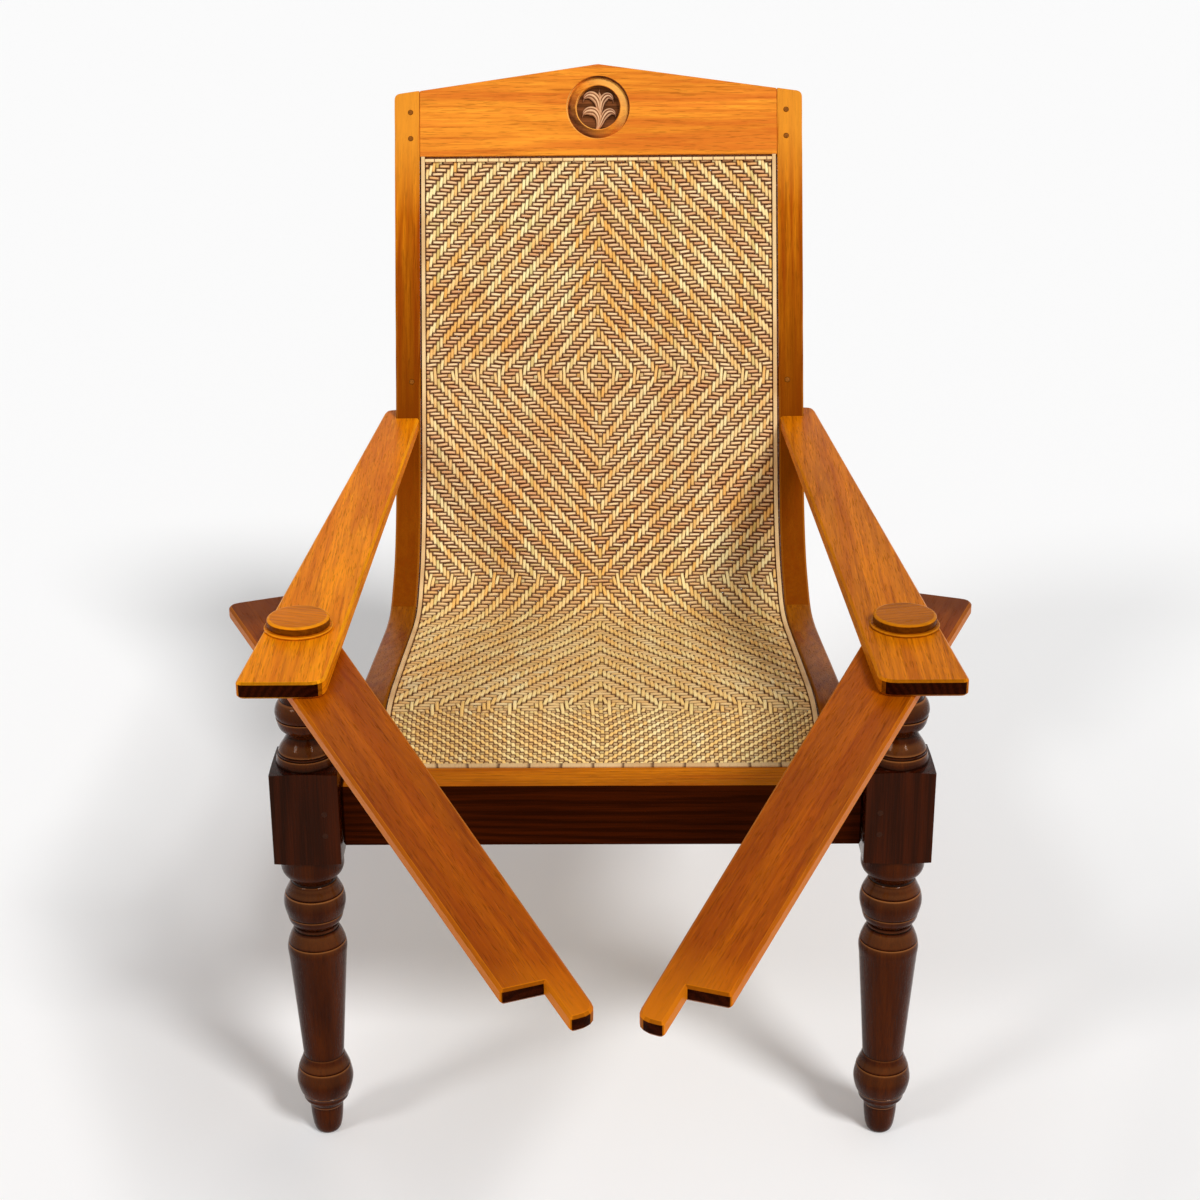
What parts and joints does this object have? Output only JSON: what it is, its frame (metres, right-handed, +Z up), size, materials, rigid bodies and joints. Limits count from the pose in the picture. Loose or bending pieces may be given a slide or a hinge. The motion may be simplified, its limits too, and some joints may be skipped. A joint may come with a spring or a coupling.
{
  "type": "planters chair",
  "caption": "Reclining planter's chair in varnished teak with a woven cane seat, long flat arms, turned front legs and swing-out leg-rest leaves.",
  "frame": {"origin": "on the floor, midway across the chair and at the middle of its whole depth", "axes": "+Z up, +Y from the leg-rest leaves to the back, +X to the sitter's left"},
  "size_m": [0.823, 1.6878, 1.0815],
  "materials": {
    "bright_teak": "varnished, orange-brown",
    "frame_teak": "varnished, red-brown",
    "dark_teak": "glossy, dark brown",
    "peg_wood": "end grain, dark",
    "woven_cane": "matt, straw-coloured twill weave",
    "beading_cane": "satin, straw-coloured"
  },
  "bodies": {
    "frame": {"front_seat_rail": "dark_teak", "crest_rail": "bright_teak", "back_rail": "frame_teak", "rear_stretcher": "frame_teak", "cane_panel": "woven_cane", "cane_beading_top": "beading_cane", "cane_beading_front": "beading_cane", "cane_beading_left": "beading_cane", "cane_beading_right": "beading_cane", "front_leg_left": "dark_teak", "front_leg_right": "dark_teak", "back_post_left": "frame_teak", "back_post_right": "frame_teak", "side_rail_left": "frame_teak", "side_rail_right": "frame_teak", "arm_left": "bright_teak", "arm_right": "bright_teak", "pivot_pin_left": "bright_teak", "pivot_pin_right": "bright_teak", "leg_peg_upper_left": "peg_wood", "leg_peg_lower_left": "peg_wood", "crest_peg_upper_left": "peg_wood", "crest_peg_lower_left": "peg_wood", "back_rail_peg_left": "peg_wood", "side_rail_peg_left": "peg_wood", "arm_peg_left": "peg_wood", "leg_peg_upper_right": "peg_wood", "leg_peg_lower_right": "peg_wood", "crest_peg_upper_right": "peg_wood", "crest_peg_lower_right": "peg_wood", "back_rail_peg_right": "peg_wood", "side_rail_peg_right": "peg_wood", "arm_peg_right": "peg_wood"},
    "leaf_left": {"leg_rest_leaf_left": "bright_teak"},
    "leaf_right": {"leg_rest_leaf_right": "bright_teak"}
  },
  "joints": [
    {"name": "leaf_left_swing", "type": "hinge", "parent": "frame", "child": "leaf_left", "pos_m": [0.321, -0.10345, 0.6076], "axis": [0, 0, 1], "range_deg": [-1, 203.5]},
    {"name": "leaf_right_swing", "type": "hinge", "parent": "frame", "child": "leaf_right", "pos_m": [-0.321, -0.10345, 0.6076], "axis": [0, 0, -1], "range_deg": [-1, 205.1]}
  ]
}
